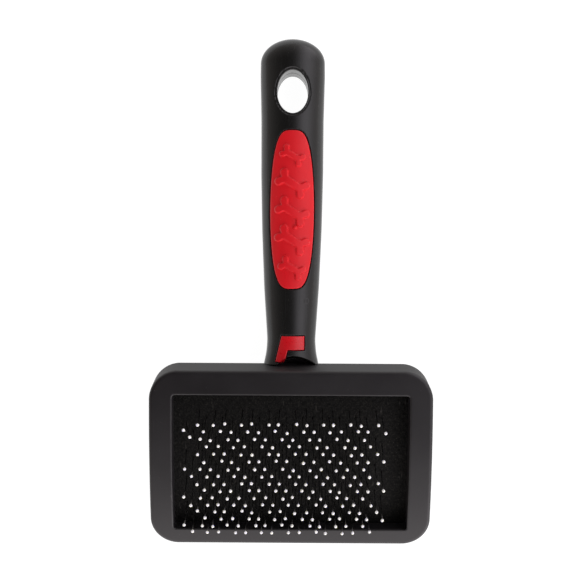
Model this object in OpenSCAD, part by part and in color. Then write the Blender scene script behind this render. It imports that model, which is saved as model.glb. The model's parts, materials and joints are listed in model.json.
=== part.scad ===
// Slicker brush for grooming pets, lying on its back with the pins up.
// +X is to the brush's right, +Y runs from the head to the hanging hole, +Z is up from the table.
// The origin is on the table, at the middle of the brush's footprint.
// The head is built in its own frame: x across, y towards the handle, z out of the face.

/* [Whole brush] */
// Length from the far edge of the head to the end of the handle
total_l = 183.6; // [182:0.1:186]

/* [Head] */
// Width of the head
head_w = 100; // [98:0.5:104]
// Length of the head along its face
head_l = 64; // [63:0.5:66]
// Corner radius of the head
head_r = 10; // [8:0.5:12]
// Radius of the arch that the face follows along its length
arch_r = 150; // [140:1:220]
// Tilt of the head's face against the table
head_tilt = 10.3; // [9:0.1:12]
// Height of the bezel's outer skirt
skirt_h = 12; // [11.5:0.1:12.5]

/* [Bezel] */
// Width of the opening in the bezel
open_w = 83.6; // [82:0.2:85]
// Length of the opening in the bezel
open_l = 49.6; // [48:0.2:51]
// Distance that the opening sits towards the far edge of the head
open_shift = 1.2; // [0.8:0.1:1.6]
// Thickness of the bezel's walls
bezel_t = 2; // [1.8:0.1:2.2]
// Depth from the bezel's face down to the pad
recess = 7; // [6.5:0.1:7.5]

/* [Pad] */
// Thickness of the pad's facing sheet
facing_t = 0.8; // [0.6:0.1:0.9]
// Thickness of the ply behind the facing
foundation_t = 1.4; // [1.2:0.1:1.5]
// How far the pad reaches under the bezel on each side
pad_margin = 1.8; // [1.4:0.1:2.2]

/* [Pins] */
// Rows of staples along the head
rows = 16; // [12:1:16]
// Staples in a row
staples = 7; // [5:1:7]
// Distance between rows
row_pitch = 2.46; // [2.3:0.02:2.5]
// Distance between staples in a row
staple_pitch = 9.5; // [9.2:0.1:9.6]
// Distance between the two legs of a staple
leg_gap = 5.8; // [5.4:0.1:6]
// Wire diameter
wire_d = 0.34; // [0.3:0.02:0.4]
// Height of the pins above the pad
pin_h = 12.5; // [11.5:0.1:13]
// Height of the bend in the pins above the pad
knee_h = 5.6; // [5:0.1:6.5]
// Lean of the wire below the bend, away from the handle
lower_lean = 22; // [18:1:24]
// Lean of the wire above the bend, away from the handle
upper_lean = 4; // [0:1:8]
// Diameter of the ball tips
ball_d = 1.1; // [1:0.05:1.3]

/* [Handle] */
// Wall thickness of the handle halves
handle_wall = 2.2; // [2:0.1:2.4]
// Width of the hanging hole
hang_w = 11.2; // [10.5:0.1:11.5]
// Length of the hanging hole
hang_l = 15.8; // [15:0.1:16.5]
// Distance from the handle's end to the middle of the hanging hole
hang_y = 20.3; // [20:0.1:21]
// Length of the grip pad
grip_l = 57; // [56:0.1:58]
// Width of the grip pad
grip_w = 15.7; // [15.2:0.1:16.4]
// Distance from the handle's end to the middle of the grip pad
grip_y = 63; // [62.4:0.1:63.6]
// Thickness of the grip pad and the neck accent under the handle's surface
inlay_t = 1.3; // [1.1:0.1:1.4]
// Height that the grip pad stands above the handle
grip_proud = 0.35; // [0.3:0.05:0.5]
// Height of the raised bones on the grip pad
bone_h = 0.7; // [0.4:0.05:0.8]
// Distance between the raised bones
bone_pitch = 10.1; // [10:0.1:10.4]

/* [Resting] */
// Depth of the small flats that the brush rests on, at the handle's end and the back's far edge
rest_flat = 0.25; // [0.1:0.05:0.3]

/* [Hidden] */
ROW_NAMES = [for (i = [1 : rows]) str(i < 10 ? "0" : "", i)];

$fn = 48;
EPS = 0.01;
FAR = 60;

// Depths of the head's layers under its face, along the arch's radius
lip_t = 2.2;
rim_top_z = 3.2;
foundation_z = recess + facing_t;
crown_z = foundation_z + foundation_t;
wire_r = wire_d / 2;
bend_r = wire_r + 0.03;
bend_gap = 0.09;
corner_r = wire_r + 0.09;
corner_gap = wire_r + 0.02;
crown_drop = corner_r + 0.02;
foam_z = crown_z + crown_drop + corner_r + 0.02;
floor_z = 13.2;
flange_z = 13.6;
back_z = 15.4;

// Outlines of the back tray's layers and of the pad
fit_gap = 0.1;
rim_w = head_w - 2 * bezel_t - 2 * fit_gap;
rim_l = head_l - 2 * bezel_t - 2 * fit_gap;
flange_inset = 0.6;
back_inset = 2.5;
back_l = head_l - 2 * back_inset;
pad_w = open_w + 2 * pad_margin;
pad_l = open_l + 2 * pad_margin;
pad_r = 4;
tray_t = 1.7;
tray_r = 5;

// The far edge of the back tray stands on the table, on its flat
back_r = arch_r - back_z;
head_z = back_l / 2 * sin(head_tilt) + (arch_r - sqrt(back_r^2 - (back_l / 2)^2)) * cos(head_tilt)
    - rest_flat;
face_drop = arch_r - sqrt(arch_r^2 - (head_l / 2)^2);
head_y = -total_l / 2 + head_l / 2 * cos(head_tilt) - face_drop * sin(head_tilt);

// Middle of the pin field on the pad
field_x = -2.3;
field_y = -open_shift - 0.7;
field_w = (staples - 1) * staple_pitch + leg_gap + 3 * staple_pitch / 4;
hole_r = wire_r + 0.03;

// Scatter of the wires' leans below and above their bends, in degrees
low_scatter = 1.8;
top_scatter = 2.4;

// Handle stations: distance from the handle's end, half width, half thickness, height of the middle
// above the lowest line of the round handle, which its flat cuts away.
// An elliptical cap closes the handle before the first station.
cap_l = 9;
STATIONS = [
    [9, 11.75, 7.3, 7.45],
    [14, 11.8, 7.6, 7.6],
    [30, 11.4, 7.9, 8.5],
    [50, 11.3, 8.1, 9.6],
    [70, 10.85, 8, 10.6],
    [90, 10, 7.5, 11.7],
    [102, 9.2, 7, 12.4],
    [110, 8.65, 6.8, 12.9],
    [114.5, 9, 6.8, 13.2],
    [119, 10, 6.8, 13.3]];
cap_angles = [for (a = [8 : 12 : 80]) a];
neck_y = total_l / 2 - STATIONS[9][0];

// The neck's front drops to the head along a steep step, from its top to its foot: [y, z]
step_top = [-23.6, 20.35];
step_foot = [-26.2, 13.35];
step_plate = 0.35;

// The neck accent's outline: a bar with one slanted leg
ACCENT = [[-3.6, -16.65], [4.7, -16.65], [4.65, -21.7], [-1.2, -21.75], [-2.5, -26.4], [-5.8, -25.9]];

// Sizes of the bones along the grip, the slope of each across the handle, and how far they sit below
// the grip's middle
BONES = [0.74, 1, 1, 1.01, 0.8];
bone_slope = -32;
bone_shift = 0.9;

// ---------- Shared shapes ----------

// A rounded rectangle
module round_rect(w, l, r) {
    square([w - 2 * r, l], center = true);
    square([w, l - 2 * r], center = true);
    for (sx = [-1, 1], sy = [-1, 1])
        translate([sx * (w / 2 - r), sy * (l / 2 - r)]) circle(r);
}

// Places children that are built in the head's frame
module on_head() {
    translate([0, head_y, head_z]) rotate([head_tilt, 0, 0]) children();
}

// The layer between two depths under the arched face
module arch_layer(top, bottom) {
    translate([0, 0, -arch_r])
        rotate([0, 90, 0])
            difference() {
                cylinder(r = arch_r - top, h = head_w + 20, center = true, $fn = 720);
                cylinder(r = arch_r - bottom, h = head_w + 22, center = true, $fn = 720);
            }
}

// A plate of the head: an outline kept between two depths under the face
module arch_plate(w, l, r, top, bottom, shift = 0) {
    intersection() {
        translate([0, shift, -30]) linear_extrude(50) round_rect(w, l, r);
        arch_layer(top, bottom);
    }
}

// Turns children to stand on the pad's surface at row i, counted from the handle's side
function row_angle(i) = (field_y + ((rows - 1) / 2 - i) * row_pitch) / (arch_r - recess) * 180 / PI;
module on_row(i) {
    translate([0, 0, -arch_r])
        rotate([-row_angle(i), 0, 0])
            translate([0, 0, arch_r - recess]) children();
}

// Position of a leg across its row: each row starts a quarter pitch further on, in a cycle of four
function leg_x(i, s, leg) =
    field_x - field_w / 2 + ((i + 2) % 4) * staple_pitch / 4 + s * staple_pitch + leg * leg_gap;

// A repeatable scatter between -1 and 1
function fraction(v) = v - floor(v);
function scatter(n) = 2 * fraction(sin(n * 127.1 + 31.7) * 437.5) - 1;
function leg_number(i, s, leg) = 2 * (i * staples + s) + leg;

// The first pins of the third and fourth rows are bent over towards the handle
// [sideways below the bend, sideways above it, away from the handle above it]
function bent(i, s, leg) =
    s > 0 || leg > 0 ? [0, 0, 0] :
    i == 2 ? [12, -11, -27] :
    i == 3 ? [10, -12, -29] : [0, 0, 0];

// Leans of a wire above and below its bend: [sideways, away from the handle]
function low_lean(n, b) =
    [low_scatter * scatter(n) + b[0], lower_lean + low_scatter * scatter(n + 300)];
function top_lean(n, b) =
    [top_scatter * scatter(n + 600) + b[1], upper_lean + top_scatter * scatter(n + 900) + b[2]];

// Points along a wire, from the pad's surface: its bend and its end, which is inside the ball
function rise(lean, h) = [h * tan(lean[0]), -h * tan(lean[1]), h];
function knee_point(i, s, leg) = rise(low_lean(leg_number(i, s, leg), bent(i, s, leg)), knee_h);
function tip_point(i, s, leg) =
    let (b = bent(i, s, leg), h = pin_h - knee_h)
    knee_point(i, s, leg) + rise(top_lean(leg_number(i, s, leg), b), h * cos(b[2]));

// A straight wire between two points, cut short by a gap at each end where a bend's bead takes over
module wire(a, b, gap_a, gap_b, r = wire_r) {
    v = b - a;
    len = norm(v);
    translate(a)
        rotate([0, acos(v[2] / len), atan2(v[1], v[0])])
            translate([0, 0, gap_a])
                cylinder(r = r, h = len - gap_a - gap_b, $fn = 16);
}

// The bead that a wire turns in
module bead(at, r) {
    translate(at) sphere(r, $fn = 24);
}

// Holes for the wires through the pad's sheets
module wire_holes() {
    for (i = [0 : rows - 1])
        on_row(i)
            for (s = [0 : staples - 1], leg = [0, 1])
                translate([leg_x(i, s, leg), 0, recess - crown_z - 0.5])
                    cylinder(r = hole_r, h = crown_z - recess + 0.9, $fn = 16);
}

// One cross-section of the handle, grown by g
module section(st, g) {
    translate([0, total_l / 2 - st[0], st[3] - rest_flat])
        rotate([90, 0, 0])
            scale([max(st[1] + g, 0.2), max(st[2] + g, 0.2), 1])
                cylinder(r = 1, h = EPS, center = true, $fn = 40);
}

// The handle's outside from its cap to the neck, grown by g
module handle_skin(g) {
    first = STATIONS[0];
    cap = [for (a = cap_angles) [cap_l * (1 - cos(a)), first[1] * sin(a), first[2] * sin(a), first[3]]];
    chain = concat(cap, STATIONS);
    for (i = [0 : len(chain) - 2])
        hull() {
            section(chain[i], g);
            section(chain[i + 1], g);
        }
}

// Everything in front of the plane where the handle's halves meet
module front_space() {
    hull() {
        translate([-FAR / 2, total_l / 2 + 10, 6.65]) cube([FAR, 1, FAR]);
        translate([-FAR / 2, neck_y - 5, 12.95]) cube([FAR, 1, FAR]);
    }
}

// Everything under the table's top, which cuts the flats that the brush rests on
module under_table() {
    translate([-FAR, -total_l, -FAR]) cube([2 * FAR, 2 * total_l, FAR]);
}

// The space that the step takes out of the neck, moved towards the head by g
module step_space(g) {
    slope = step_foot - step_top;
    edge = [step_top - slope, step_top, step_foot, [step_foot[0] - 9, step_foot[1]], [step_foot[0] - 9, 40]];
    translate([-FAR / 2, -g, 0])
        rotate([90, 0, 90])
            linear_extrude(FAR) polygon(edge);
}

// The hanging hole, through the whole handle
module hang_hole() {
    translate([0, total_l / 2 - hang_y, -5])
        scale([hang_w / 2, hang_l / 2, 1]) cylinder(r = 1, h = 40, $fn = 60);
}

// The grip pad's outline as an upright prism, grown by g: a long oval with full round ends
function grip_edge(t) = grip_w / 2 * pow(1 - t * t, 1 / 3.6);
module grip_prism(g) {
    side = [for (a = [-90 : 6 : 90]) sin(a)];
    right = [for (t = side) [grip_edge(t) + g, t * (grip_l / 2 + g)]];
    left = [for (t = side) [-grip_edge(t) - g, -t * (grip_l / 2 + g)]];
    translate([0, total_l / 2 - grip_y, 10.8])
        linear_extrude(20) polygon(concat(right, left));
}

// The neck accent's outline as an upright prism, grown by g
module accent_prism(g) {
    translate([0, 0, 12]) linear_extrude(20) offset(delta = g) polygon(ACCENT);
}

// A raised bone's outline: a shaft with two round lobes at each end
module bone(k) {
    scale(k) {
        square([9, 3], center = true);
        for (sx = [-1, 1], sy = [-1, 1])
            translate([sx * 4.6, sy * 1.95]) circle(1.4, $fn = 24);
    }
}

// ---------- Handle ----------

module handle_shell() {
    difference() {
        handle_skin(0);
        difference() {
            handle_skin(-handle_wall);
            translate([-FAR / 2, total_l / 2 - hang_y - hang_l / 2 - handle_wall, -5])
                cube([FAR, FAR, 40]);
        }
        hang_hole();
        step_space(0);
    }
}

module handle_front() {
    color("#2b2927")
        difference() {
            intersection() {
                handle_shell();
                front_space();
            }
            difference() {
                union() {
                    grip_prism(0.05);
                    accent_prism(0.05);
                }
                handle_skin(-inlay_t - 0.02);
            }
        }
}

module handle_rear() {
    color("#232221")
        difference() {
            handle_shell();
            front_space();
            under_table();
        }
}

module grip_pad() {
    color("#d42230") {
        difference() {
            intersection() {
                handle_skin(grip_proud);
                grip_prism(0);
            }
            handle_skin(-inlay_t);
        }
        difference() {
            intersection() {
                handle_skin(grip_proud + bone_h);
                for (i = [0 : 4])
                    translate([0, total_l / 2 - grip_y + (2 - i) * bone_pitch - bone_shift, 10])
                        rotate([0, 0, bone_slope])
                            linear_extrude(15) bone(BONES[i]);
            }
            handle_skin(0);
        }
        gate_mark();
    }
}

// The small nub left where the grip was moulded
module gate_mark() {
    difference() {
        intersection() {
            handle_skin(grip_proud + bone_h + 0.2);
            translate([1.1, 22.2, 14]) cylinder(r = 0.6, h = 10, $fn = 24);
        }
        handle_skin(0);
    }
}

module neck_accent() {
    color("#b4151d") {
        difference() {
            intersection() {
                handle_skin(0.06);
                accent_prism(0);
            }
            handle_skin(-inlay_t);
            step_space(step_plate / 2);
        }
        difference() {
            intersection() {
                handle_skin(0.06);
                accent_prism(0);
                step_space(0.01);
            }
            step_space(step_plate);
        }
    }
}

// ---------- Head ----------

module bezel_frame() {
    color("#2f2d2e")
        on_head()
            difference() {
                arch_plate(head_w, head_l, head_r, 0, skirt_h);
                translate([0, -open_shift, -30])
                    linear_extrude(50) round_rect(open_w, open_l, 1);
                difference() {
                    arch_plate(head_w - 2 * bezel_t, head_l - 2 * bezel_t, head_r - bezel_t,
                        lip_t, skirt_h + 5);
                    arch_plate(open_w + 2 * bezel_t, open_l + 2 * bezel_t, 1 + bezel_t,
                        -5, recess - 0.3, -open_shift);
                }
            }
}

module head_back() {
    color("#262524") {
        on_head()
            difference() {
                union() {
                    arch_plate(rim_w, rim_l, head_r - bezel_t - fit_gap, rim_top_z, floor_z + 0.2);
                    arch_plate(head_w - 2 * flange_inset, head_l - 2 * flange_inset,
                        head_r - flange_inset, skirt_h + 0.05, flange_z);
                    arch_plate(head_w - 2 * back_inset, back_l, head_r - back_inset,
                        flange_z - 0.1, back_z);
                }
                arch_plate(rim_w - 2 * tray_t, rim_l - 2 * tray_t, tray_r, -5, floor_z);
                head_table();
            }
        neck_root();
        tang();
    }
}

// The space under the table's top, in the head's frame
module head_table() {
    rotate([-head_tilt, 0, 0]) translate([0, -head_y, -head_z]) under_table();
}

// The root that carries the neck under the head's back
module neck_root() {
    end = STATIONS[9];
    difference() {
        hull() {
            intersection() {
                section([end[0] + 0.02, end[1], end[2], end[3]], 0);
                translate([-FAR / 2, neck_y - 5, 0]) cube([FAR, 10, step_foot[1] - 0.02]);
            }
            translate([-7, neck_y - 20, 10.15]) cube([14, 0.1, 1.2]);
            translate([-9, neck_y - 3, 11.15]) cube([18, 0.1, 1.2]);
        }
        on_head()
            arch_plate(rim_w - 2 * tray_t, rim_l - 2 * tray_t, tray_r, -20, floor_z);
    }
}

// The tang that the handle's halves close on
module tang() {
    difference() {
        hull() {
            section([100, 8.4, 6.5, 12.3], -handle_wall - 0.15);
            section([119.1, 8.4, 6.5, 13.3], -handle_wall - 0.15);
        }
        step_space(0);
    }
}

module pad_facing() {
    color("#1c1b1a")
        on_head()
            difference() {
                arch_plate(pad_w, pad_l, pad_r, recess, foundation_z, -open_shift);
                wire_holes();
            }
}

module pad_foundation() {
    color("#4a443c")
        on_head()
            difference() {
                arch_plate(pad_w, pad_l, pad_r, foundation_z, crown_z, -open_shift);
                wire_holes();
            }
}

module cushion_foam() {
    color("#3a3a3a")
        on_head()
            arch_plate(pad_w, pad_l, pad_r, foam_z, floor_z, -open_shift);
}

// ---------- Pins ----------

// A bent wire staple: its crown lies behind the pad and its two legs stand up through it
module staple(i, s) {
    crown = recess - crown_z - crown_drop;
    wire([leg_x(i, s, 0), 0, crown], [leg_x(i, s, 1), 0, crown], corner_gap, corner_gap);
    for (leg = [0, 1])
        translate([leg_x(i, s, leg), 0, 0]) {
            corner = [0, 0, crown];
            root = [0, 0, 0.5];
            knee = knee_point(i, s, leg);
            bead(corner, corner_r);
            wire(corner, root, corner_gap, bend_gap);
            bead(root, bend_r);
            wire(root, knee, bend_gap, bend_gap);
            bead(knee, bend_r);
            wire(knee, tip_point(i, s, leg), bend_gap, 0);
        }
}

module pin_row(i) {
    color("#8d8d90")
        on_head() on_row(i)
            for (s = [0 : staples - 1]) staple(i, s);
}

// The ball tips of a row: each has a socket for its wire's end
module tip_row(i) {
    color("white")
        on_head() on_row(i)
            for (s = [0 : staples - 1], leg = [0, 1])
                translate([leg_x(i, s, leg), 0, 0])
                    difference() {
                        bead(tip_point(i, s, leg), ball_d / 2);
                        wire(knee_point(i, s, leg), tip_point(i, s, leg), 0, -0.01, hole_r);
                    }
}

// ---------- Nodes ----------

handle_front();
handle_rear();
grip_pad();
neck_accent();
head_back();
bezel_frame();
pad_facing();
pad_foundation();
cushion_foam();
for (i = [0 : rows - 1]) {
    pin_row(i);
    tip_row(i);
}
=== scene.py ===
"""Slicker brush: the visual model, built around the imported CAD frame.

Lengths are in millimetres until a mesh is made. The head's pieces are worked out in the head's own frame
(x across, u towards the handle, n out of the face) and then turned into the row frame.
"""
import itertools
import json
import math

import bpy
import numpy as np
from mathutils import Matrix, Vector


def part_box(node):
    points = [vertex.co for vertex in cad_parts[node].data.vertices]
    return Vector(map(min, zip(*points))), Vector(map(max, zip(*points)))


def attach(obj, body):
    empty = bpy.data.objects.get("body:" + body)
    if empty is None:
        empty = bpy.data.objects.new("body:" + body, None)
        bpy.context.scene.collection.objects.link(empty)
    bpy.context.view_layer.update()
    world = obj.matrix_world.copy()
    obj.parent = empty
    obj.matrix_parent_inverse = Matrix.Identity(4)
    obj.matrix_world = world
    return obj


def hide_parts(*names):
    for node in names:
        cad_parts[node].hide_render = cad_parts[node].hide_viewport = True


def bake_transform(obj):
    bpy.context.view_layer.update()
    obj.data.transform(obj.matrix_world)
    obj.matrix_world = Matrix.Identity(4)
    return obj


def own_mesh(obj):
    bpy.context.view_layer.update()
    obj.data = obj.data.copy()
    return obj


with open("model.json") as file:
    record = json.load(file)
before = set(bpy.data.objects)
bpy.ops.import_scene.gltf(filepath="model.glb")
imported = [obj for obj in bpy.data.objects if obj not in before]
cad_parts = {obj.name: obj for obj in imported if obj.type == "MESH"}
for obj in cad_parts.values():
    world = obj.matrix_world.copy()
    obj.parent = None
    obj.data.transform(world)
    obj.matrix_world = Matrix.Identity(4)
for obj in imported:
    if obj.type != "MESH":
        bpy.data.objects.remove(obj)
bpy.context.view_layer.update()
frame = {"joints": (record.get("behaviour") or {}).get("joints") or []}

MM = 0.001


def cad_box(node):
    low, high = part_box(node)
    return np.array(low) / MM, np.array(high) / MM


# ---------- Sizes, as the CAD has them ----------

HEAD_W, HEAD_L, HEAD_R = 100, 64, 10
ARCH_R = 150
SKIRT, LIP, WALL = 12, 2.2, 2
OPEN_W, OPEN_L, OPEN_SHIFT = 83.6, 49.6, 1.2
RECESS, FACING_T, FOUNDATION_T = 7, 0.8, 1.4
PAD_MARGIN, PAD_R, ARCH_EXTRA, HOLD_W = 1.8, 4, 0.3, 3.2
FLOOR_Z, FLANGE_Z, BACK_Z = 13.2, 13.6, 15.4
ROWS, STAPLES = 16, 7
ROW_PITCH, STAPLE_PITCH, LEG_GAP = 2.46, 9.5, 5.8
FIELD_X, FIELD_U = -2.3, -1.9
WIRE_R, BALL_R = 0.17, 0.55
PIN_H, KNEE_H = 12.5, 5.6
LOWER_LEAN, UPPER_LEAN = 22, 4
LOW_SCATTER, TOP_SCATTER = 1.8, 2.4
CROWN_DEPTH = 2.48

# The first pin of two rows is bent over: its lean across below and above the bend, and its lean away above it
BENT_PINS = {2: (12, -11, -27), 3: (10, -12, -29)}
TAIL, BENT_TAIL = 1.75, 3.6

FOAM_Z = 9.76
CAP_L, SHELL_WALL, INLAY_T = 9, 2.2, 1.3
HANG_W, HANG_L, HANG_Y = 11.2, 15.8, 20.3
GRIP_L, GRIP_W, GRIP_Y = 57, 15.7, 63
GRIP_PROUD, BONE_H, BONE_PITCH, BONE_SHIFT = 0.35, 0.7, 10.1, 0.9
BONES = [0.74, 1, 1, 1.01, 0.8]
BONE_SLOPE = math.radians(-32)
BONE_SHAFT_L, BONE_SHAFT_W, BONE_WAIST = 9, 3, 0.3
BONE_LOBE_X, BONE_LOBE_Y, BONE_LOBE_R = 4.6, 1.95, 1.4
GATE_X, GATE_Y, GATE_R = 1.1, 22.2, 0.8
RING_W, RING_DEPTH = 0.95, 0.28
REST_FLAT = 0.25

# Middle of the ring that a moulding pin left on the neck, in metres
WITNESS_MARK = (0.0055, -0.0041, 0.0181)

# The back tray: its rim stands in the bezel, its flange closes the skirt, and its plate is the back
TRAY_FIT, TRAY_T, TRAY_R = 2 * WALL + 0.2, 1.7, 5
RIM_R, RIM_MIDDLE, RIM_HALF = 7.9, 8.3, 5.1
FLANGE_INSET, FLANGE_R, FLANGE_MIDDLE, FLANGE_HALF = 1.2, 9.4, 12.83, 0.77
PLATE_INSET, PLATE_R = 5, 7.5
PANEL_INSET, PANEL_R, PANEL_DEPTH = 21, 4, 0.35
ROOT_L, ROOT_LOW, ROOT_HIGH = 20, 6.3, 10.2
TANG_W, TANG_T, TANG_FIT, TANG_LOW = 8.4, 6.5, 0.15, 12.3

# Handle stations: distance from the handle's end, half width, half thickness, height of the middle
STATIONS = np.array([
    [9, 11.75, 7.3, 7.45], [14, 11.8, 7.6, 7.6], [30, 11.4, 7.9, 8.5], [50, 11.3, 8.1, 9.6],
    [70, 10.85, 8, 10.6], [90, 10, 7.5, 11.7], [102, 9.2, 7, 12.4], [110, 8.65, 6.8, 12.9],
    [114.5, 9, 6.8, 13.2], [119, 10, 6.8, 13.3]])
STEP_MIDDLE, BOW_LEFT, BOW_RIGHT = 0.6, 0.085, 0.03
STEP_TOP, STEP_FOOT = np.array([-23.6, 20.35]), np.array([-26.2, 13.35])
ACCENT = [(-3.6, -16.65), (4.7, -16.65), (4.65, -21.7), (-1.2, -21.75), (-2.5, -26.4), (-5.8, -25.9)]

# The head's tilt is the cushion joint's, and its origin follows from the bezel's box
press_axis = np.array(frame["joints"][0]["axis"])
TILT = math.atan2(press_axis[1], -press_axis[2])
SIN_T, COS_T = math.sin(TILT), math.cos(TILT)
bezel_low, bezel_high = cad_box("bezel_frame")
FACE_DROP = ARCH_R - math.sqrt(ARCH_R**2 - (HEAD_L / 2) ** 2)
HEAD_Y = bezel_low[1] + HEAD_L / 2 * COS_T - FACE_DROP * SIN_T
HEAD_Z = bezel_high[2] - ARCH_R * (1 - COS_T)
HANDLE_END = cad_box("handle_rear")[1][1]
NECK_Y = HANDLE_END - STATIONS[-1][0]


def to_row(points):
    """Points of the head's frame in the row frame."""
    x, u, n = np.asarray(points, float).T
    return np.stack([x, HEAD_Y + u * COS_T - n * SIN_T, HEAD_Z + u * SIN_T + n * COS_T], 1)


def arch_n(u, depth):
    """Height of the layer at a depth under the arched face."""
    return np.sqrt((ARCH_R - depth) ** 2 - u**2) - ARCH_R


# ---------- Meshes ----------

def add_mesh(name, points, faces, material):
    mesh = bpy.data.meshes.new(name)
    mesh.from_pydata((np.asarray(points) * MM).tolist(), [], list(map(list, faces)))
    mesh.validate()
    mesh.shade_smooth()
    mesh.materials.append(material)
    piece = bpy.data.objects.new(name, mesh)
    bpy.context.scene.collection.objects.link(piece)
    return piece


def round_max(a, b, r):
    """Where both fields are negative, with the outer edge rounded."""
    return np.minimum(-r, np.maximum(a, b)) + np.hypot(np.maximum(a + r, 0), np.maximum(b + r, 0))


def round_min(a, b, r):
    """Where either field is negative, with the inner corner filled."""
    return -round_max(-a, -b, r)


def polygonise(field, low, high, cell):
    """Quads over a distance field's zero surface, with each point moved onto the surface."""
    low = np.array(low, float)
    counts = np.ceil((np.array(high) - low) / cell).astype(int) + 1
    x, y, z = (low[k] + cell * np.arange(counts[k]) for k in range(3))
    value = np.broadcast_to(field(x[:, None, None], y[None, :, None], z[None, None, :]), counts)
    inside = value < 0
    corners = list(itertools.product((0, 1), repeat=3))
    spans = [inside[a:counts[0] - 1 + a, b:counts[1] - 1 + b, c:counts[2] - 1 + c] for a, b, c in corners]
    total = sum(s.astype(np.int8) for s in spans)
    active = (total > 0) & (total < 8)
    index = np.full(active.shape, -1)
    index[active] = np.arange(active.sum())
    cells = np.argwhere(active)
    where, crossings = np.zeros((len(cells), 3)), np.zeros(len(cells))
    for a, b in itertools.combinations(corners, 2):
        if sum(abs(p - q) for p, q in zip(a, b)) != 1:
            continue
        va, vb = (value[tuple((cells + c).T)] for c in (a, b))
        cross = (va < 0) != (vb < 0)
        t = np.where(cross, va / np.where(cross, va - vb, 1), 0)
        where += np.where(cross[:, None], np.array(a) + t[:, None] * (np.array(b) - np.array(a)), 0)
        crossings += cross
    points = low + cell * (cells + where / crossings[:, None])
    for _ in range(3):
        points += pull(field, points, cell)
    quads = []
    for axis in range(3):
        step, u, v = np.eye(3, dtype=int)[[axis, (axis + 1) % 3, (axis + 2) % 3]]
        start = inside[tuple(slice(0, -1) if k == axis else slice(1, -1) for k in range(3))]
        end = inside[tuple(slice(1, None) if k == axis else slice(1, -1) for k in range(3))]
        at = np.argwhere(start != end) + 1 - step
        ring = [index[tuple((at + d).T)] for d in (-u - v, -v, 0 * u, -u)]
        leaving = inside[tuple(at.T)]
        quad = np.stack(ring, 1)
        quads.append(np.where(leaving[:, None], quad, quad[:, ::-1]))
    return points, np.concatenate(quads)


def pull(field, points, cell):
    """The move that takes points onto the field's zero surface."""
    step = 0.05 * cell
    f = field(*points.T)
    slope = np.stack([
        (field(*(points + d).T) - field(*(points - d).T)) / (2 * step) for d in np.eye(3) * step], 1)
    move = -(f / np.maximum((slope**2).sum(1), 0.25))[:, None] * slope
    length = np.linalg.norm(move, axis=1, keepdims=True)
    return move * np.minimum(1, 0.6 * cell / np.maximum(length, 1e-9))


def rectangle(x, y, w, l, r):
    """Distance to a rounded rectangle's outline."""
    qx, qy = np.abs(x) - w / 2 + r, np.abs(y) - l / 2 + r
    return np.hypot(np.maximum(qx, 0), np.maximum(qy, 0)) + np.minimum(np.maximum(qx, qy), 0) - r


def polygon(x, y, corners):
    """Distance to a polygon's outline."""
    best, inside = np.full(np.broadcast(x, y).shape, 1e9), np.full(np.broadcast(x, y).shape, False)
    for (ax, ay), (bx, by) in zip(corners, corners[1:] + corners[:1]):
        ex, ey, px, py = bx - ax, by - ay, x - ax, y - ay
        t = np.clip((px * ex + py * ey) / (ex * ex + ey * ey), 0, 1)
        best = np.minimum(best, np.hypot(px - t * ex, py - t * ey))
        crosses = ((ay > y) != (by > y)) & (px < (y - ay) * ex / (ey if ey else 1e-9))
        inside = inside ^ crosses
    return np.where(inside, -best, best)


# ---------- Handle ----------

profile_s = np.arange(0, 140, 0.25)
SMOOTHING = np.hanning(25) / np.hanning(25).sum()


def profile(column):
    """A station value along the handle, smoothed between the stations."""
    raw = np.interp(profile_s, STATIONS[:, 0], STATIONS[:, column])
    return np.convolve(np.pad(raw, 12, mode="edge"), SMOOTHING, mode="valid")


HALF_W, HALF_T, MID_Z = profile(1), profile(2), profile(3) - REST_FLAT


def skin(x, y, z):
    """Distance to the handle's outside: elliptical sections and an elliptical cap."""
    s = HANDLE_END - y
    a, b, c = (np.interp(s, profile_s, v) for v in (HALF_W, HALF_T, MID_Z))
    cap = np.maximum(CAP_L - s, 0)
    near = np.sqrt((x / a) ** 2 + ((z - c) / b) ** 2 + (cap / CAP_L) ** 2)
    slope = np.sqrt((x / a**2) ** 2 + ((z - c) / b**2) ** 2 + (cap / CAP_L**2) ** 2)
    return near * (near - 1) / np.maximum(slope, 1e-4)


def step_cut(x, y, z):
    """The space in front of the neck's step, bowed across the neck, with its foot rounded into a scoop."""
    y = y + np.where(x < STEP_MIDDLE, BOW_LEFT, BOW_RIGHT) * (x - STEP_MIDDLE) ** 2
    along = (STEP_FOOT - STEP_TOP) / np.linalg.norm(STEP_FOOT - STEP_TOP)
    before = (y - STEP_TOP[0]) * along[1] - (z - STEP_TOP[1]) * along[0]
    return round_max(-before, STEP_FOOT[1] - z, 1.2)


def neck_surface(x, y, z):
    """Distance to the handle's outside with the step taken out of it."""
    return round_max(skin(x, y, z), -step_cut(x, y, z), 0.25)


def hang_hole(x, y):
    """Distance to the oval hanging hole."""
    a, b, dy = HANG_W / 2, HANG_L / 2, y - (HANDLE_END - HANG_Y)
    near = np.sqrt((x / a) ** 2 + (dy / b) ** 2)
    return near * (near - 1) / np.maximum(np.sqrt((x / a**2) ** 2 + (dy / b**2) ** 2), 1e-3)


def parting(y):
    """Height of the plane where the handle's halves meet."""
    return np.interp(y, [NECK_Y - 5, HANDLE_END + 10], [12.95, 6.65])


def grip_outline(x, y):
    """Distance to the grip's outline: a long oval with full round ends."""
    a, b, dy, power = GRIP_W / 2, GRIP_L / 2, y - (HANDLE_END - GRIP_Y), 3.6
    value = (np.abs(x) / a) ** power + (dy / b) ** 2 - 1
    slope = np.hypot(power * np.abs(x) ** (power - 1) / a**power, 2 * dy / b**2)
    return value / np.maximum(slope, 0.04)


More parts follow.
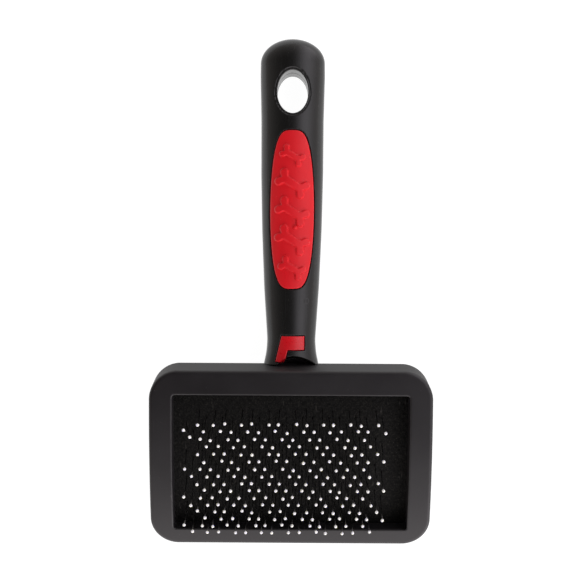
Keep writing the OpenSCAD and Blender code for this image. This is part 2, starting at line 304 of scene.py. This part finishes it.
def shell(x, y, z):
    """Both halves of the handle: hollow from behind the hanging hole to the neck."""
    outside = neck_surface(x, y, z)
    hollow = np.maximum(skin(x, y, z) + SHELL_WALL, y - (HANDLE_END - HANG_Y - HANG_L / 2 - SHELL_WALL))
    hole = hang_hole(x, y)
    body = round_max(outside, -np.maximum(hole - RING_W, -(outside + RING_DEPTH)), 0.14)
    body = round_max(body, -hole, 0.3)
    body = round_max(body, NECK_Y - y, 0.1)
    return np.maximum(body, -hollow)


def front_field(x, y, z):
    half = round_max(shell(x, y, z), parting(y) - z, 0.18)
    window = np.minimum(grip_outline(x, y) - 0.22, polygon(x, y, ACCENT) - 0.15)
    pocket = np.maximum(window, -(neck_surface(x, y, z) + INLAY_T + 0.05))
    return round_max(half, -pocket, 0.22)


def rear_field(x, y, z):
    half = round_max(shell(x, y, z), z - parting(y), 0.18)
    return round_max(half, -z, 0.2)


def bone(x, y, size):
    """Distance to a bone's outline: a shaft with two lobes at each end."""
    c, s = math.cos(BONE_SLOPE), math.sin(BONE_SLOPE)
    px, py = (x * c + y * s) / size, (y * c - x * s) / size
    waist = BONE_WAIST * (1 - (px / BONE_LOBE_X) ** 2)
    shaft = rectangle(px, py, BONE_SHAFT_L, BONE_SHAFT_W - waist, 0.2)
    lobes = np.hypot(np.abs(px) - BONE_LOBE_X, np.abs(py) - BONE_LOBE_Y) - BONE_LOBE_R
    return round_min(shaft, lobes, 1.1) * size


def relief(x, y):
    """Height of the grip above the handle: its bones and its gate mark."""
    raised = 0
    for i, size in enumerate(BONES):
        middle = HANDLE_END - GRIP_Y + (2 - i) * BONE_PITCH - BONE_SHIFT
        edge = np.clip((0.15 - bone(x, y - middle, size)) / 0.45, 0, 1)
        raised = np.maximum(raised, edge * (1.6 - 0.6 * edge))
    gate = np.clip(1 - (np.hypot(x - GATE_X, y - GATE_Y) / GATE_R) ** 2, 0, 1)
    return GRIP_PROUD + BONE_H * raised + (BONE_H + 0.1) * gate**0.5 * (raised < 0.5)


def grip_field(x, y, z):
    top = skin(x, y, z) - relief(x, y)
    return np.maximum(round_max(top, grip_outline(x, y), 0.42), -(skin(x, y, z) + INLAY_T))


def accent_field(x, y, z):
    surface = neck_surface(x, y, z)
    plate = round_max(surface - 0.07, polygon(x, y, ACCENT) + 0.05, 0.3)
    return np.maximum(plate, -(surface + INLAY_T - 0.1))


# ---------- Head ----------

def depth(u, n):
    """Depth under the arched face."""
    return ARCH_R - np.hypot(u, n + ARCH_R)


def bezel_field(x, u, n):
    d = depth(u, n)
    outline = rectangle(x, u, HEAD_W, HEAD_L, HEAD_R)
    opening = rectangle(x, u + OPEN_SHIFT, OPEN_W, OPEN_L, 1.0)
    body = round_max(outline, -d, 1.0)
    body = round_max(body, d - SKIRT, 0.3)
    body = round_max(body, -opening, 0.45)
    cavity = np.maximum(np.maximum(outline + WALL, LIP - d), -np.maximum(opening - WALL, d - RECESS + 0.3))
    return round_max(body, -cavity, 0.2)


def neck_root(x, y, z):
    """The web that carries the neck under the head's back, narrowing towards the head's middle."""
    t = np.clip((NECK_Y - y) / ROOT_L, 0, 1)
    half = 10 - 3 * t
    bottom = ROOT_LOW + (ROOT_HIGH - ROOT_LOW) * t - REST_FLAT
    top = np.interp(t, [0, 0.15, 1], [13.33, 12.35, 11.35])
    up = np.clip((z - bottom) / np.maximum(top - bottom, 0.1), 0, 1)
    side = half * np.sqrt(np.maximum(1 - (1 - up) ** 2.2, 0.0))
    across = np.maximum(np.abs(x) - side, np.maximum(bottom - z, z - top))
    return np.maximum(across, np.abs(y - NECK_Y + ROOT_L / 2) - ROOT_L / 2)


def tang(x, y, z):
    """The tongue inside the neck that the handle's halves close on."""
    a, b = TANG_W - SHELL_WALL - TANG_FIT, TANG_T - SHELL_WALL - TANG_FIT
    s = HANDLE_END - y
    middle = TANG_LOW + (s - 100) / 19 - REST_FLAT
    round_bar = (np.sqrt((x / a) ** 2 + ((z - middle) / b) ** 2) - 1) * b
    bar = round_max(round_bar, np.abs(s - 109.6) - 9.6, 0.5)
    return np.maximum(bar, -(step_cut(x, y, z) - 0.02))


def back_field(x, u, n):
    d = depth(u, n)
    rim = rectangle(x, u, HEAD_W - TRAY_FIT, HEAD_L - TRAY_FIT, RIM_R)
    rim = np.maximum(rim, np.abs(d - RIM_MIDDLE) - RIM_HALF)
    flange = rectangle(x, u, HEAD_W - FLANGE_INSET, HEAD_L - FLANGE_INSET, FLANGE_R)
    flange = round_max(flange, np.abs(d - FLANGE_MIDDLE) - FLANGE_HALF, 0.35)
    plate = rectangle(x, u, HEAD_W - PLATE_INSET, HEAD_L - PLATE_INSET, PLATE_R)
    plate = round_max(round_max(plate, d - BACK_Z, 0.9), FLANGE_Z - 0.3 - d, 0.01)
    y = HEAD_Y + u * COS_T - n * SIN_T
    z = HEAD_Z + u * SIN_T + n * COS_T
    body = np.minimum(np.minimum(rim, flange), plate)
    inner_w, inner_l = HEAD_W - TRAY_FIT - 2 * TRAY_T, HEAD_L - TRAY_FIT - 2 * TRAY_T
    inner = np.maximum(rectangle(x, u, inner_w, inner_l, TRAY_R), d - FLOOR_Z)
    panel = rectangle(x, u, HEAD_W - PANEL_INSET, HEAD_L - PANEL_INSET, PANEL_R)
    panel = np.maximum(panel, -(d - BACK_Z + PANEL_DEPTH))
    body = round_max(body, -panel, 0.25)
    body = round_min(body, neck_root(x, y, z), 0.8)
    body = np.minimum(body, tang(x, y, z))
    return round_max(np.maximum(body, -inner), -z, 0.2)


# ---------- Pins ----------

def row_angle(i):
    """Angle of a row round the arch, from the middle of the face, in radians."""
    return (FIELD_U + ((ROWS - 1) / 2 - i) * ROW_PITCH) / (ARCH_R - RECESS)


def leg_x(i, s, leg):
    """Place of a leg across its row: each row starts a quarter pitch further on, in a cycle of four."""
    width = (STAPLES - 1) * STAPLE_PITCH + LEG_GAP + 3 * STAPLE_PITCH / 4
    return FIELD_X - width / 2 + ((i + 2) % 4) * STAPLE_PITCH / 4 + s * STAPLE_PITCH + leg * LEG_GAP


def scatter(n):
    """The CAD's repeatable scatter between -1 and 1."""
    v = math.sin(math.radians(n * 127.1 + 31.7)) * 437.5
    return 2 * (v - math.floor(v)) - 1


def on_row(i, points):
    """Points of a row's frame, standing on the pad, in the head's frame."""
    x, y, z = np.asarray(points, float).T
    a, z = row_angle(i), z + ARCH_R - RECESS
    return np.stack([x, y * math.cos(a) + z * math.sin(a), z * math.cos(a) - y * math.sin(a) - ARCH_R], 1)


def rise(sideways, away, height):
    """The way from a wire's foot to its end, for its two leans and its height."""
    x, y = math.tan(math.radians(sideways)), -math.tan(math.radians(away))
    return np.array([height * x, height * y, height])


def is_bent(i, s, leg):
    return i in BENT_PINS and s == 0 and leg == 0


def leg_points(i, s, leg):
    """A leg from the pad up: its root, its bend and its end, at its own place across the row."""
    number = 2 * (i * STAPLES + s) + leg
    bent = BENT_PINS[i] if is_bent(i, s, leg) else (0, 0, 0)
    knee = rise(LOW_SCATTER * scatter(number) + bent[0],
                LOWER_LEAN + LOW_SCATTER * scatter(number + 300), KNEE_H)
    upper = (PIN_H - KNEE_H) * math.cos(math.radians(bent[2]))
    tip = knee + rise(TOP_SCATTER * scatter(number + 600) + bent[1],
                      UPPER_LEAN + TOP_SCATTER * scatter(number + 900) + bent[2], upper)
    return np.array([[0, 0, 0.5], knee, tip]) + [leg_x(i, s, leg), 0, 0]


def rounded_path(points, radius, steps=4):
    """A polyline with its corners turned on an arc."""
    out = [points[0]]
    for before, corner, after in zip(points, points[1:], points[2:]):
        a, b = before - corner, after - corner
        reach = min(radius, np.linalg.norm(a) / 2.2, np.linalg.norm(b) / 2.2)
        a, b = (corner + v / np.linalg.norm(v) * reach for v in (a, b))
        for t in np.linspace(0, 1, steps + 1):
            out.append((1 - t) ** 2 * a + 2 * t * (1 - t) * corner + t**2 * b)
    return np.array(out + [points[-1]])


def sweep(path, radii, sides):
    """A closed tube along a path."""
    tangents = np.gradient(path, axis=0)
    tangents /= np.linalg.norm(tangents, axis=1, keepdims=True)
    side = np.cross(tangents[0], [0.3, 0.9, 0.1])
    points = []
    turn = np.linspace(0, 2 * math.pi, sides, endpoint=False)
    for centre, tangent, r in zip(path, tangents, radii):
        side = side - tangent * side.dot(tangent)
        side /= np.linalg.norm(side)
        up = np.cross(tangent, side)
        points += list(centre + r * (np.outer(np.cos(turn), side) + np.outer(np.sin(turn), up)))
    faces = []
    for k in range(len(path) - 1):
        for j in range(sides):
            a, b = k * sides + j, k * sides + (j + 1) % sides
            faces.append([a, b, b + sides, a + sides])
    points += [path[0], path[-1]]
    first, last = len(points) - 2, len(points) - 1
    tail = (len(path) - 1) * sides
    faces += [[first, (j + 1) % sides, j, j] for j in range(sides)]
    faces += [[last, tail + j, tail + (j + 1) % sides, tail + j] for j in range(sides)]
    return np.array(points), [f[:3] if len(set(f)) == 3 else f for f in faces]


def join(parts):
    """Several meshes as one."""
    points, faces, start = [], [], 0
    for p, f in parts:
        points.append(p)
        faces += [[v + start for v in face] for face in f]
        start += len(p)
    return np.concatenate(points), faces


def staple_mesh(i, s):
    """One wire staple, from ball to ball by way of its crown behind the pad."""
    left, right = leg_points(i, s, 0), leg_points(i, s, 1)
    corners = [np.array([leg_x(i, s, leg), 0, -CROWN_DEPTH]) for leg in (0, 1)]
    path = rounded_path(np.array([*left[::-1], *corners, *right]), 0.9)
    return sweep(path, np.full(len(path), WIRE_R), 8)


def ball_mesh(i, s, leg):
    """A dipped ball, drawn out a little down its wire."""
    _, knee, tip = leg_points(i, s, leg)
    number = 2 * (i * STAPLES + s) + leg
    size = BALL_R * (1 + 0.05 * scatter(number + 1200))
    along = (tip - knee) / np.linalg.norm(tip - knee)
    angles = np.radians(np.arange(6, 150, 12))
    tail = BENT_TAIL if is_bent(i, s, leg) else TAIL
    heights = list(size * np.cos(angles)) + [-size * (1.2 + 0.1 * scatter(number + 1500)), -size * tail]
    radii = list(size * np.sin(angles)) + [size * 0.4, WIRE_R * 1.02]
    path = tip + np.outer(heights, along)
    return sweep(path[::-1], radii[::-1], 14)


# ---------- Sheets ----------

def sheet_grid(top_depth, bottom_depth, surface, cell):
    """A closed sheet under the bezel: its points, its faces and each point's (x, u)."""
    w, l = OPEN_W + 2 * PAD_MARGIN, OPEN_L + 2 * PAD_MARGIN
    nx, nu = round(w / cell), round(l / cell)
    x, u = np.meshgrid(np.linspace(-w / 2, w / 2, nx + 1), np.linspace(-l / 2, l / 2, nu + 1), indexing="ij")
    x, u = x.ravel(), u.ravel()
    qx, qu = np.abs(x) - w / 2 + PAD_R, np.abs(u) - l / 2 + PAD_R
    corner = (qx > 0) & (qu > 0)
    far = np.where(corner, np.maximum(np.hypot(qx, qu) / np.maximum(np.maximum(qx, qu), 1e-9), 1), 1)
    x = np.where(corner, np.sign(x) * (w / 2 - PAD_R + qx / far), x)
    u = np.where(corner, np.sign(u) * (l / 2 - PAD_R + qu / far), u) - OPEN_SHIFT
    top = np.stack([x, u, arch_n(u, top_depth) + surface(x, u)], 1)
    bottom = np.stack([x, u, arch_n(u, bottom_depth)], 1)
    faces = []
    count = len(x)
    for i in range(nx):
        for j in range(nu):
            a = i * (nu + 1) + j
            b = a + nu + 1
            faces += [[a, b, b + 1, a + 1], [count + a, count + a + 1, count + b + 1, count + b]]
    edge = [i * (nu + 1) for i in range(nx)] + [nx * (nu + 1) + j for j in range(nu)]
    edge += [i * (nu + 1) + nu for i in range(nx, 0, -1)] + list(range(nu, 0, -1))
    for a, b in zip(edge, edge[1:] + edge[:1]):
        faces.append([a, count + a, count + b, b])
    return np.concatenate([top, bottom]), faces, np.concatenate([x, x]), np.concatenate([u, u])


def plain_surface(x, u):
    """No relief."""
    return 0 * x


def facing_surface(x, u):
    """The facing's own relief: soft waves, and a pucker round each wire."""
    high = 0.05 * np.sin(x * 0.31 + 1.3 * np.sin(u * 0.22)) * np.sin(u * 0.37 + 0.8)
    for i in range(ROWS):
        row_u = (ARCH_R - RECESS) * math.sin(row_angle(i))
        near = np.abs(u - row_u) < 1.6
        for s, leg in itertools.product(range(STAPLES), (0, 1)):
            r2 = (x[near] - leg_x(i, s, leg)) ** 2 + (u[near] - row_u) ** 2
            high[near] += 0.1 * np.exp(-r2 / 0.6) - 0.3 * np.exp(-r2 / 0.12)
    return high


def give_weights(piece):
    """The sheet's placement, baked into its points."""
    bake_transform(piece)


# ---------- Materials ----------

def linear(red, green, blue):
    """A colour given as it looks on screen, 0 to 255."""
    def one(v):
        v /= 255
        return v / 12.92 if v <= 0.04045 else ((v + 0.055) / 1.055) ** 2.4
    return one(red), one(green), one(blue), 1


class Finish:
    """A material being put together from nodes."""

    def __init__(self, name):
        self.material = bpy.data.materials.new(name)
        self.material.use_nodes = True
        self.tree = self.material.node_tree
        self.surface = self.tree.nodes["Principled BSDF"]
        self.place = self.add("ShaderNodeTexCoord").outputs["Object"]

    def add(self, kind, settings=(), **inputs):
        made = self.tree.nodes.new(kind)
        for key, value in dict(settings).items():
            setattr(made, key, value)
        for key, value in inputs.items():
            self.put(made.inputs[key.replace("_", " ")], value)
        return made

    def put(self, socket, value):
        if isinstance(value, bpy.types.NodeSocket):
            self.tree.links.new(value, socket)
        else:
            socket.default_value = value

    def stretched(self, scale, rotation=(0, 0, 0)):
        mapping = self.add("ShaderNodeMapping", Vector=self.place)
        mapping.inputs["Scale"].default_value = scale
        mapping.inputs["Rotation"].default_value = rotation
        return mapping.outputs["Vector"]

    def noise(self, scale, detail=3, rough=0.55, vector=None):
        made = self.add("ShaderNodeTexNoise", Vector=vector or self.place,
                        Scale=scale, Detail=detail, Roughness=rough)
        return made.outputs["Fac"]

    def cells(self, scale, vector=None, feature="F1"):
        made = self.add("ShaderNodeTexVoronoi", {"feature": feature},
                        Vector=vector or self.place, Scale=scale)
        return made.outputs["Distance"]

    def ramp(self, value, *stops):
        made = self.add("ShaderNodeValToRGB", Fac=value)
        ramp = made.color_ramp
        while len(ramp.elements) < len(stops):
            ramp.elements.new(0.5)
        for element, (at, colour) in zip(ramp.elements, stops):
            element.position = at
            element.color = colour if isinstance(colour, tuple) else (colour, colour, colour, 1)
        return made.outputs["Color"]

    def mix(self, amount, a, b):
        made = self.add("ShaderNodeMix", {"data_type": "RGBA"})
        self.put(made.inputs[0], amount)
        self.put(made.inputs[6], a)
        self.put(made.inputs[7], b)
        return made.outputs[2]

    def maths(self, operation, a, b):
        made = self.add("ShaderNodeMath", {"operation": operation})
        self.put(made.inputs[0], a)
        self.put(made.inputs[1], b)
        return made.outputs[0]

    def bumps(self, *layers):
        """Relief from several layers: (height, distance in metres)."""
        normal = None
        for height, distance in layers:
            made = self.add("ShaderNodeBump", Height=height, Distance=distance, Strength=1.0)
            if normal is not None:
                self.put(made.inputs["Normal"], normal)
            normal = made.outputs["Normal"]
        self.put(self.surface.inputs["Normal"], normal)

    def set(self, **inputs):
        for key, value in inputs.items():
            self.put(self.surface.inputs[key.replace("_", " ")], value)
        return self

    def worn_edges(self, low, high):
        """Where the surface turns sharply outwards."""
        point = self.add("ShaderNodeNewGeometry").outputs["Pointiness"]
        return self.ramp(point, (low, 0.0), (high, 1.0))


def handle_plastic():
    f = Finish("handle_gloss_black")
    patches = f.noise(90, 4)
    hairlines = f.noise(900, 2, 0.5, f.stretched((1, 0.035, 1), (0, 0, 0.5)))
    scuffs = f.ramp(hairlines, (0.60, 0.0), (0.72, 1.0))
    worn = f.maths("MULTIPLY", f.worn_edges(0.52, 0.6), f.noise(700, 3))
    colour = f.mix(f.maths("MULTIPLY", worn, 0.5), linear(17, 17, 16), linear(54, 52, 50))
    dust = f.ramp(f.cells(420), (0.0, 1.0), (0.055, 0.0))
    f.set(Base_Color=f.mix(f.maths("MULTIPLY", dust, 0.16), colour, linear(150, 148, 145)))
    rough = f.ramp(patches, (0.3, 0.20), (0.7, 0.28))
    f.set(Roughness=f.mix(f.maths("MULTIPLY", scuffs, 0.35), rough, (0.5, 0.5, 0.5, 1)))
    away = f.add("ShaderNodeVectorMath", {"operation": "DISTANCE"})
    f.put(away.inputs[0], f.place)
    away.inputs[1].default_value = WITNESS_MARK
    ring = f.ramp(f.maths("MULTIPLY", away.outputs["Value"], 500), (0.44, 0.0), (0.5, 1.0), (0.56, 0.0))
    f.bumps((f.noise(60, 2), 0.00006), (f.noise(2600, 2), 0.0000035), (scuffs, 0.000002), (ring, -0.00004))
    f.surface.inputs["IOR"].default_value = 1.49
    return f.material


def head_plastic():
    f = Finish("head_satin_black")
    grain = f.noise(3200, 3, 0.6)
    patches = f.noise(70, 3)
    worn = f.maths("MULTIPLY", f.worn_edges(0.51, 0.58), f.noise(500, 3))
    colour = f.mix(patches, linear(16, 13, 15), linear(20, 17, 19))
    colour = f.mix(f.maths("MULTIPLY", worn, 0.6), colour, linear(70, 68, 68))
    specks = f.ramp(f.cells(330), (0.0, 1.0), (0.05, 0.0))
    f.set(Base_Color=f.mix(f.maths("MULTIPLY", specks, 0.22), colour, linear(150, 146, 146)))
    upright = f.add("ShaderNodeSeparateXYZ", Vector=f.tree.nodes["Texture Coordinate"].outputs["Normal"])
    wall = f.ramp(f.maths("ABSOLUTE", upright.outputs["Z"], 0.0), (0.25, 1.0), (0.75, 0.0))
    f.set(Roughness=f.mix(wall, f.ramp(patches, (0.3, 0.31), (0.7, 0.39)), (0.62, 0.62, 0.62, 1)))
    f.bumps((f.noise(45, 2), 0.00008), (grain, 0.000006))
    f.surface.inputs["IOR"].default_value = 1.49
    return f.material


def grip_rubber():
    f = Finish("grip_soft_red")
    patches = f.noise(120, 4)
    grain = f.noise(2400, 4, 0.6)
    colour = f.mix(patches, linear(206, 8, 22), linear(222, 12, 28))
    worn = f.maths("MULTIPLY", f.worn_edges(0.54, 0.62), 0.3)
    colour = f.mix(worn, colour, linear(232, 60, 70))
    lint = f.ramp(f.cells(360), (0.0, 1.0), (0.05, 0.0))
    f.set(Base_Color=f.mix(f.maths("MULTIPLY", lint, 0.25), colour, linear(240, 190, 190)))
    f.set(Roughness=f.ramp(f.noise(300, 3), (0.3, 0.40), (0.7, 0.52)))
    f.bumps((grain, 0.000012), (f.cells(1900), 0.000008))
    f.surface.inputs["Subsurface Weight"].default_value = 0.06
    f.surface.inputs["Subsurface Radius"].default_value = (0.0012, 0.0002, 0.0002)
    f.surface.inputs["Subsurface Scale"].default_value = 1.0
    f.surface.inputs["Specular IOR Level"].default_value = 0.36
    return f.material


def accent_plastic():
    f = Finish("accent_gloss_red")
    worn = f.worn_edges(0.51, 0.57)
    colour = f.mix(f.noise(150, 3), linear(200, 8, 22), linear(216, 14, 30))
    f.set(Base_Color=f.mix(f.maths("MULTIPLY", worn, 0.4), colour, linear(226, 70, 84)))
    f.set(Roughness=f.ramp(f.noise(400, 3), (0.3, 0.26), (0.7, 0.36)))
    f.bumps((f.noise(1800, 3), 0.000006))
    return f.material


def facing_cloth():
    f = Finish("facing_black_cloth")
    weave = []
    for turn in (math.pi / 4, -math.pi / 4):
        wave = f.add("ShaderNodeTexWave", {"wave_type": "BANDS", "bands_direction": "X"}, Scale=150.0,
                     Distortion=1.6, Detail=2.0, Vector=f.stretched((1, 1, 1), (0, 0, turn)))
        wave.inputs["Detail Scale"].default_value = 2.0
        weave.append(wave.outputs["Fac"])
    cloth = f.maths("MULTIPLY", weave[0], weave[1])
    fuzz = f.noise(1500, 5, 0.7)
    crumb = f.ramp(f.noise(2100, 3, 0.8), (0.5, 0.0), (0.72, 1.0))
    colour = f.mix(crumb, linear(7, 7, 6), linear(44, 42, 38))
    fibres = f.ramp(f.noise(1300, 2, 0.5, f.stretched((1, 0.12, 1), (0, 0, 0.9))), (0.66, 0.0), (0.74, 1.0))
    specks = f.ramp(f.cells(620), (0.0, 1.0), (0.09, 0.0))
    light = f.maths("MAXIMUM", f.maths("MULTIPLY", specks, 0.35), f.maths("MULTIPLY", fibres, 0.12))
    f.set(Base_Color=f.mix(light, colour, linear(128, 124, 118)))
    f.set(Roughness=f.ramp(fuzz, (0.3, 0.62), (0.7, 0.85)))
    f.bumps((cloth, 0.00009), (fuzz, 0.00005))
    f.surface.inputs["Specular IOR Level"].default_value = 0.16
    return f.material


def foundation_cloth():
    f = Finish("foundation_ply")
    threads = f.add("ShaderNodeTexWave", {"bands_direction": "X"},
                    Vector=f.place, Scale=300.0, Distortion=1.0)
    fuzz = f.noise(900, 4)
    f.set(Base_Color=f.mix(fuzz, linear(64, 58, 50), linear(96, 88, 76)))
    f.set(Roughness=f.ramp(fuzz, (0.3, 0.8), (0.7, 0.95)))
    f.bumps((threads.outputs["Fac"], 0.00006), (fuzz, 0.00004))
    return f.material


def foam_cells():
    f = Finish("cushion_foam")
    pores = f.cells(900)
    f.set(Base_Color=f.ramp(pores, (0.0, linear(26, 26, 27)), (0.5, linear(62, 62, 63))))
    f.set(Roughness=f.ramp(pores, (0.0, 0.95), (0.6, 0.8)))
    f.bumps((pores, 0.0002))
    return f.material


def wire_steel():
    f = Finish("wire_steel_painted_shade")
    drawn = f.noise(5000, 2, 0.5, f.stretched((1, 1, 0.04)))
    # Painted shade: the steel's colour is kept dark to stand for the shade the wires sit in among the pins
    f.set(Base_Color=f.mix(drawn, linear(62, 61, 62), linear(104, 102, 101)))
    f.set(Roughness=f.ramp(drawn, (0.3, 0.28), (0.7, 0.42)))
    f.bumps((drawn, 0.000003))
    f.surface.inputs["Metallic"].default_value = 1.0
    return f.material


def tip_resin():
    f = Finish("tip_white_resin")
    patches = f.noise(700, 3)
    f.set(Base_Color=f.mix(patches, linear(244, 244, 241), linear(253, 253, 252)))
    f.set(Roughness=f.ramp(patches, (0.3, 0.24), (0.7, 0.36)))
    f.bumps((f.noise(1600, 2), 0.000015))
    f.surface.inputs["Subsurface Weight"].default_value = 0.5
    f.surface.inputs["Subsurface Radius"].default_value = (0.0006, 0.0006, 0.0005)
    f.surface.inputs["Subsurface Scale"].default_value = 1.0
    return f.material


def pale_floor():
    f = Finish("pale_floor")
    f.set(Base_Color=f.mix(f.noise(6, 2), (0.14, 0.14, 0.14, 1), (0.16, 0.16, 0.16, 1)))
    f.set(Roughness=f.ramp(f.noise(20, 2), (0.3, 0.8), (0.7, 0.9)))
    f.surface.inputs["Emission Color"].default_value = (1, 1, 1, 1)
    f.surface.inputs["Emission Strength"].default_value = 0.97
    return f.material


# ---------- Pieces ----------

def solid(name, field, low, high, cell, material, slot, node, in_head=False):
    """A piece made from a field, riding on the brush in its CAD node's place."""
    points, faces = polygonise(field, low, high, cell)
    piece = add_mesh(name, to_row(points) if in_head else points, faces, material)
    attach(piece, "brush")
    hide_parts(node)
    return piece


def span(node, extra=1.0):
    """A node's CAD box, grown a little on each side."""
    low, high = cad_box(node)
    return low - extra, high + extra


def build_handle():
    black = handle_plastic()
    solid("handle_front_shell", front_field, *span("handle_front"), 0.3, black,
          "handle_black", "handle_front")
    solid("handle_rear_shell", rear_field, *span("handle_rear"), 0.3, black,
          "handle_black", "handle_rear")
    solid("grip_red_pad", grip_field, *span("grip_pad", 0.7), 0.17, grip_rubber(),
          "grip_red", "grip_pad")
    solid("neck_red_inlay", accent_field, *span("neck_accent", 0.5), 0.11, accent_plastic(),
          "accent_red", "neck_accent")


def build_head():
    black = head_plastic()
    w, l = HEAD_W / 2 + 1, HEAD_L / 2 + 1
    solid("bezel_frame_shell", bezel_field, (-w, -l, -17.5), (w, l, 1), 0.36, black,
          "head_black", "bezel_frame", in_head=True)
    solid("head_back_tray", back_field, (-w, -l, -27), (w, l + 22, 1), 0.45, black,
          "head_black", "head_back", in_head=True)


def build_cushion():
    sheets = [
        ("pad_facing_cloth", RECESS, RECESS + FACING_T, facing_surface, 0.3, facing_cloth(),
         "facing_black", "pad_facing", "pad_foundation"),
        ("pad_foundation_cloth", RECESS + FACING_T, RECESS + FACING_T + FOUNDATION_T, plain_surface, 1.2,
         foundation_cloth(), "foundation_ply", "pad_foundation", "cushion_foam")]
    for name, top, bottom, surface, cell, material, slot, node, under in sheets:
        points, faces, x, u = sheet_grid(top, bottom, surface, cell)
        piece = add_mesh(name, to_row(points), faces, material)
        give_weights(piece)
        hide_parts(node)
    points, faces, _, _ = sheet_grid(FOAM_Z, FLOOR_Z, plain_surface, 1.2)
    foam = add_mesh("cushion_foam_layer", to_row(points), faces, foam_cells())
    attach(foam, "brush")
    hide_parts("cushion_foam")
    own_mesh(foam)


def build_pins():
    steel, white = wire_steel(), tip_resin()
    for i in range(ROWS):
        number = f"{i + 1:02d}"
        wires, faces = join([staple_mesh(i, s) for s in range(STAPLES)])
        balls, ball_faces = join([ball_mesh(i, s, leg) for s in range(STAPLES) for leg in (0, 1)])
        for name, points, quads, material, slot, node in (
                ("pin_wires_", wires, faces, steel, "wire_steel", "pin_row_"),
                ("pin_balls_", balls, ball_faces, white, "tip_white", "tip_row_")):
            piece = add_mesh(name + number, to_row(on_row(i, points)), quads, material)
            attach(piece, "cushion")
            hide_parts(node + number)


# ---------- Studio ----------

# Brightness of the studio's brightest part, which its ramps are scaled by
BRIGHTEST = 1.6

# Half the floor's width, and how far it lies under the brush, in metres
REACH, FLOOR_GAP = 3.0, 0.0002

CAMERA_PLACE, CAMERA_TURN, CAMERA_LENS = (-1.3, 0.5, 422.75), 0.0061, 70.75


def build_studio():
    corners = [(-REACH, -REACH, 0), (REACH, -REACH, 0), (REACH, REACH, 0), (-REACH, REACH, 0)]
    floor = add_mesh("floor", np.array(corners) / MM, [[0, 1, 2, 3]], pale_floor())
    floor.location.z = -FLOOR_GAP
    build_world()


def build_world():
    """A dark tent with a soft strip on the brush's right and a broad light at its far end."""
    world = bpy.data.worlds.new("studio")
    bpy.context.scene.world = world
    world.use_nodes = True
    tree = world.node_tree
    place = tree.nodes.new("ShaderNodeTexCoord")
    split = tree.nodes.new("ShaderNodeSeparateXYZ")
    tree.links.new(place.outputs["Generated"], split.inputs[0])

    def glow(direction, tint, low, high, *stops):
        """Brightness over one component of the direction, between two values of it."""
        scaled = tree.nodes.new("ShaderNodeMapRange")
        scaled.inputs["From Min"].default_value, scaled.inputs["From Max"].default_value = low, high
        ramp = tree.nodes.new("ShaderNodeValToRGB")
        tree.links.new(split.outputs[direction], scaled.inputs["Value"])
        tree.links.new(scaled.outputs["Result"], ramp.inputs["Fac"])
        elements = ramp.color_ramp.elements
        while len(elements) < len(stops):
            elements.new(0.5)
        for element, (at, level) in zip(elements, stops):
            element.position = (at - low) / (high - low)
            element.color = (*(level / BRIGHTEST * part for part in tint), 1)
        return ramp.outputs["Color"]

    def total(a, b):
        added = tree.nodes.new("ShaderNodeVectorMath")
        tree.links.new(a, added.inputs[0])
        tree.links.new(b, added.inputs[1])
        return added.outputs[0]

    tent = glow("Z", (1.05, 0.98, 0.94), 0, 1, (0, 0.65), (0.34, 0.42), (0.55, 0.3), (0.7, 0.19),
                (0.81, 0.13), (0.9, 0.08), (1, 0.05))
    strip = glow("X", (1, 0.96, 1.03), -1, 1, (-0.25, 0), (0, 0.06), (0.12, 0.18), (0.24, 0.58),
                 (0.35, 1.1), (0.46, 1.5), (0.6, 1.55), (0.72, 1.25), (0.84, 0.65), (0.95, 0.3))
    end = glow("Y", (1.03, 0.98, 1), -1, 0, (-1, 1.4), (-0.84, 1.6), (-0.78, 1.25), (-0.7, 0.9),
               (-0.6, 0.72), (-0.5, 0.48), (-0.38, 0.25), (-0.26, 0.12), (-0.12, 0.05), (0, 0))
    tree.links.new(total(total(tent, strip), end), tree.nodes["Background"].inputs["Color"])
    tree.nodes["Background"].inputs["Strength"].default_value = BRIGHTEST


def build_camera():
    camera = bpy.data.cameras.new("camera")
    camera.lens, camera.sensor_width = CAMERA_LENS, 36
    camera.clip_start, camera.clip_end = 0.01, 20
    eye = bpy.data.objects.new("camera", camera)
    bpy.context.scene.collection.objects.link(eye)
    eye.location = [v * MM for v in CAMERA_PLACE]
    eye.rotation_euler = (0, 0, CAMERA_TURN)
    bpy.context.scene.camera = eye


build_camera()
build_studio()
build_handle()
build_head()
build_cushion()
build_pins()
bpy.context.scene.view_settings.view_transform = "Standard"
